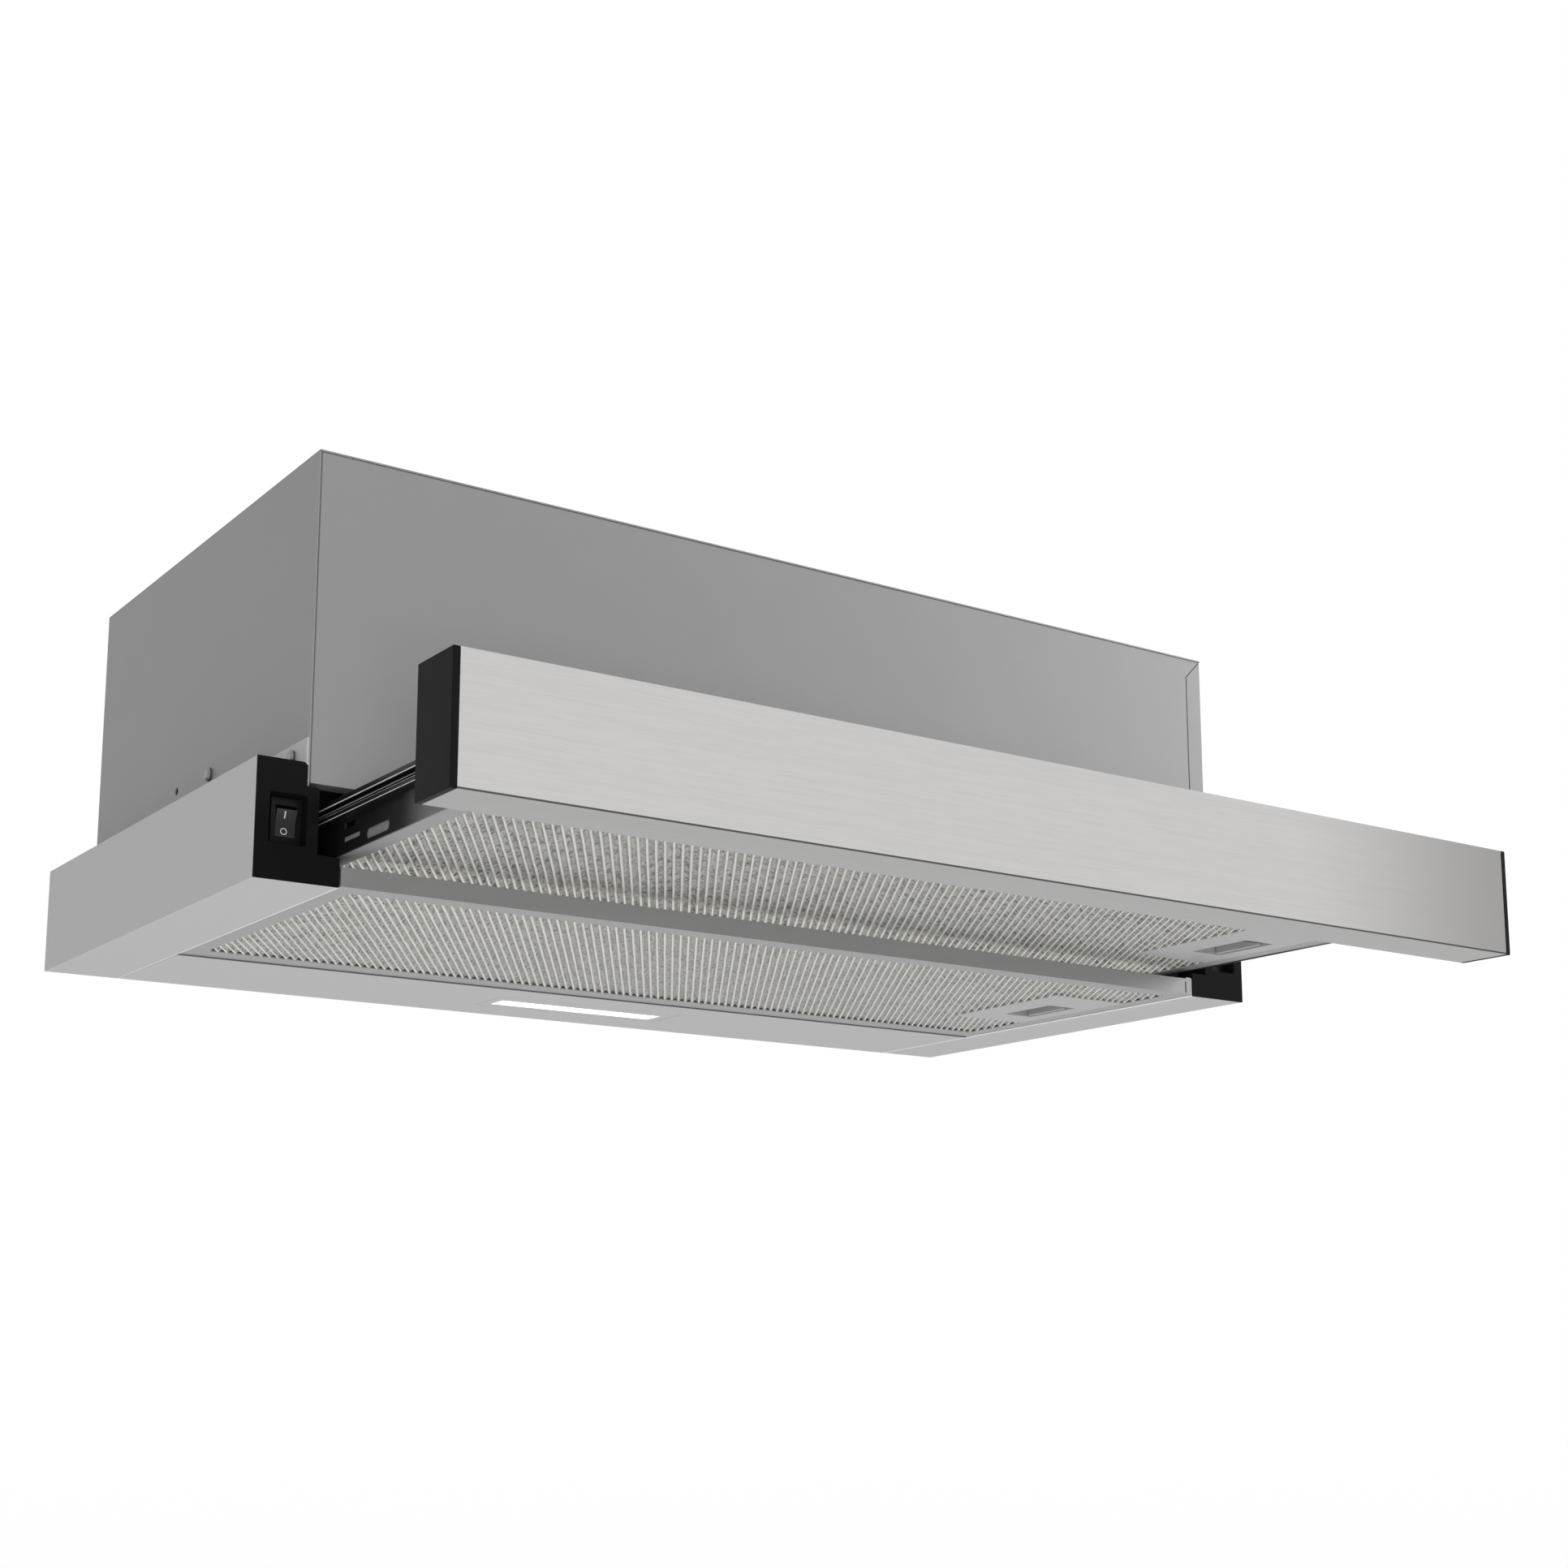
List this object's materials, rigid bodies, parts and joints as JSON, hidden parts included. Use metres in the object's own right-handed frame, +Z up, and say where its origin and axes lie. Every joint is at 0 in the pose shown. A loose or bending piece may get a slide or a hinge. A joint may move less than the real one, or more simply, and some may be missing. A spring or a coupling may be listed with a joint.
{
  "type": "pull out range hood",
  "caption": "Slim cooker hood with a fixed tray, a blower box, two grease filters and a telescopic drawer whose brushed visor pulls forward on ball slides.",
  "frame": {"origin": "under the middle of the whole hood, drawer pulled out, at the height of its underside", "axes": "+Z up, the visor faces -Y, +X to the right of someone who faces +Y"},
  "size_m": [0.598, 0.476, 0.236],
  "materials": {
    "panel_paint": "smooth grey coated sheet steel",
    "zinc_steel": "zinc coated sheet steel",
    "visor_steel": "stainless steel, brushed from side to side",
    "filter_aluminium": "satin aluminium sheet",
    "mesh_aluminium": "pleated expanded aluminium mesh",
    "black_plastic": "black moulded plastic, fine grain",
    "switch_plastic": "black switch plastic, slightly glossy",
    "black_steel": "black coated steel",
    "bright_steel": "bright zinc plated steel",
    "lamp_grey": "grey moulded plastic",
    "lens_white": "opal white, lit",
    "board_white": "white circuit board",
    "scroll_plastic": "dark grey moulded plastic",
    "motor_paint": "grey coated steel",
    "wiring_white": "off-white moulded plastic"
  },
  "bodies": {
    "hood": {"box_side_left": "panel_paint", "box_side_right": "panel_paint", "front_panel": "panel_paint", "top_panel": "panel_paint", "back_panel": "panel_paint", "side_channel_left": "panel_paint", "side_channel_right": "panel_paint", "rear_strip": "panel_paint", "slide_support_left": "zinc_steel", "slide_support_right": "zinc_steel", "outer_rail_left": "black_steel", "outer_rail_right": "black_steel", "switch_bracket_left": "black_plastic", "switch_bracket_right": "black_plastic", "switch_body_left": "switch_plastic", "switch_body_right": "switch_plastic", "lamp_frame": "lamp_grey", "lamp_lens": "lens_white", "lamp_board": "board_white", "body_screws": "bright_steel", "scroll_left": "scroll_plastic", "scroll_right": "scroll_plastic", "motor": "motor_paint", "motor_bracket": "zinc_steel", "outlet_adapter": "scroll_plastic", "outlet_collar": "black_plastic", "flap_pin": "bright_steel", "capacitor": "wiring_white", "terminal_box": "wiring_white", "terminal_box_lid": "wiring_white", "cable_gland": "black_plastic"},
    "drawer": {"visor_panel": "visor_steel", "visor_back": "zinc_steel", "visor_cap_left": "black_plastic", "visor_cap_right": "black_plastic", "drawer_side_left": "black_steel", "drawer_side_right": "black_steel", "drawer_cross_rail": "black_steel", "inner_rail_left": "black_steel", "inner_rail_right": "black_steel", "drawer_screws": "bright_steel", "front_filter_frame": "filter_aluminium", "front_filter_mesh": "mesh_aluminium", "front_latch_plate": "filter_aluminium"},
    "slide_left": {"middle_rail_left": "black_steel", "ball_cage_left": "bright_steel"},
    "slide_right": {"middle_rail_right": "black_steel", "ball_cage_right": "bright_steel"},
    "front_latch": {"front_latch_slide": "filter_aluminium"},
    "rear_filter": {"rear_filter_frame": "filter_aluminium", "rear_filter_mesh": "mesh_aluminium", "rear_latch_plate": "filter_aluminium"},
    "rear_latch": {"rear_latch_slide": "filter_aluminium"},
    "switch_left": {"rocker_left": "switch_plastic"},
    "switch_right": {"rocker_right": "switch_plastic"},
    "blower": {"blower_wheel": "scroll_plastic", "motor_shaft": "bright_steel"},
    "front_flap": {"flap_front": "black_plastic"},
    "back_flap": {"flap_back": "black_plastic"}
  },
  "joints": [
    {"name": "drawer_slide", "type": "slide", "parent": "hood", "child": "drawer", "axis": [0, 1, 0], "range_m": [0, 0.154]},
    {"name": "slide_left_travel", "type": "slide", "parent": "hood", "child": "slide_left", "axis": [0, 1, 0], "range_m": [0, 0.077]},
    {"name": "slide_right_travel", "type": "slide", "parent": "hood", "child": "slide_right", "axis": [0, 1, 0], "range_m": [0, 0.077]},
    {"name": "front_latch_travel", "type": "slide", "parent": "drawer", "child": "front_latch", "axis": [-1, 0, 0], "range_m": [0, 0.006], "stiffness_N_per_m": 400, "springref_m": -0.003},
    {"name": "rear_filter_swing", "type": "hinge", "parent": "hood", "child": "rear_filter", "pos_m": [-0.2586, 0.048, 0.0006], "axis": [0, 1, 0], "range_deg": [0, 90]},
    {"name": "rear_latch_travel", "type": "slide", "parent": "rear_filter", "child": "rear_latch", "axis": [-1, 0, 0], "range_m": [0, 0.006], "stiffness_N_per_m": 400, "springref_m": -0.003},
    {"name": "switch_left_tilt", "type": "hinge", "parent": "hood", "child": "switch_left", "pos_m": [-0.2824, -0.041, 0.0276], "axis": [-1, 0, 0], "range_deg": [0, 16]},
    {"name": "switch_right_tilt", "type": "hinge", "parent": "hood", "child": "switch_right", "pos_m": [0.2824, -0.041, 0.0276], "axis": [-1, 0, 0], "range_deg": [0, 16]},
    {"name": "blower_spin", "type": "hinge", "parent": "hood", "child": "blower", "pos_m": [0, 0.076, 0.112], "axis": [1, 0, 0], "continuous": true},
    {"name": "front_flap_swing", "type": "hinge", "parent": "hood", "child": "front_flap", "pos_m": [0, 0.12576, 0.211], "axis": [-1, 0, 0], "range_deg": [0, 75]},
    {"name": "back_flap_swing", "type": "hinge", "parent": "hood", "child": "back_flap", "pos_m": [0, 0.12576, 0.211], "axis": [1, 0, 0], "range_deg": [0, 75]}
  ],
  "couplings": [
    {"joint": "slide_left_travel", "follows": "drawer_slide", "ratio": 0.5},
    {"joint": "slide_right_travel", "follows": "drawer_slide", "ratio": 0.5}
  ]
}
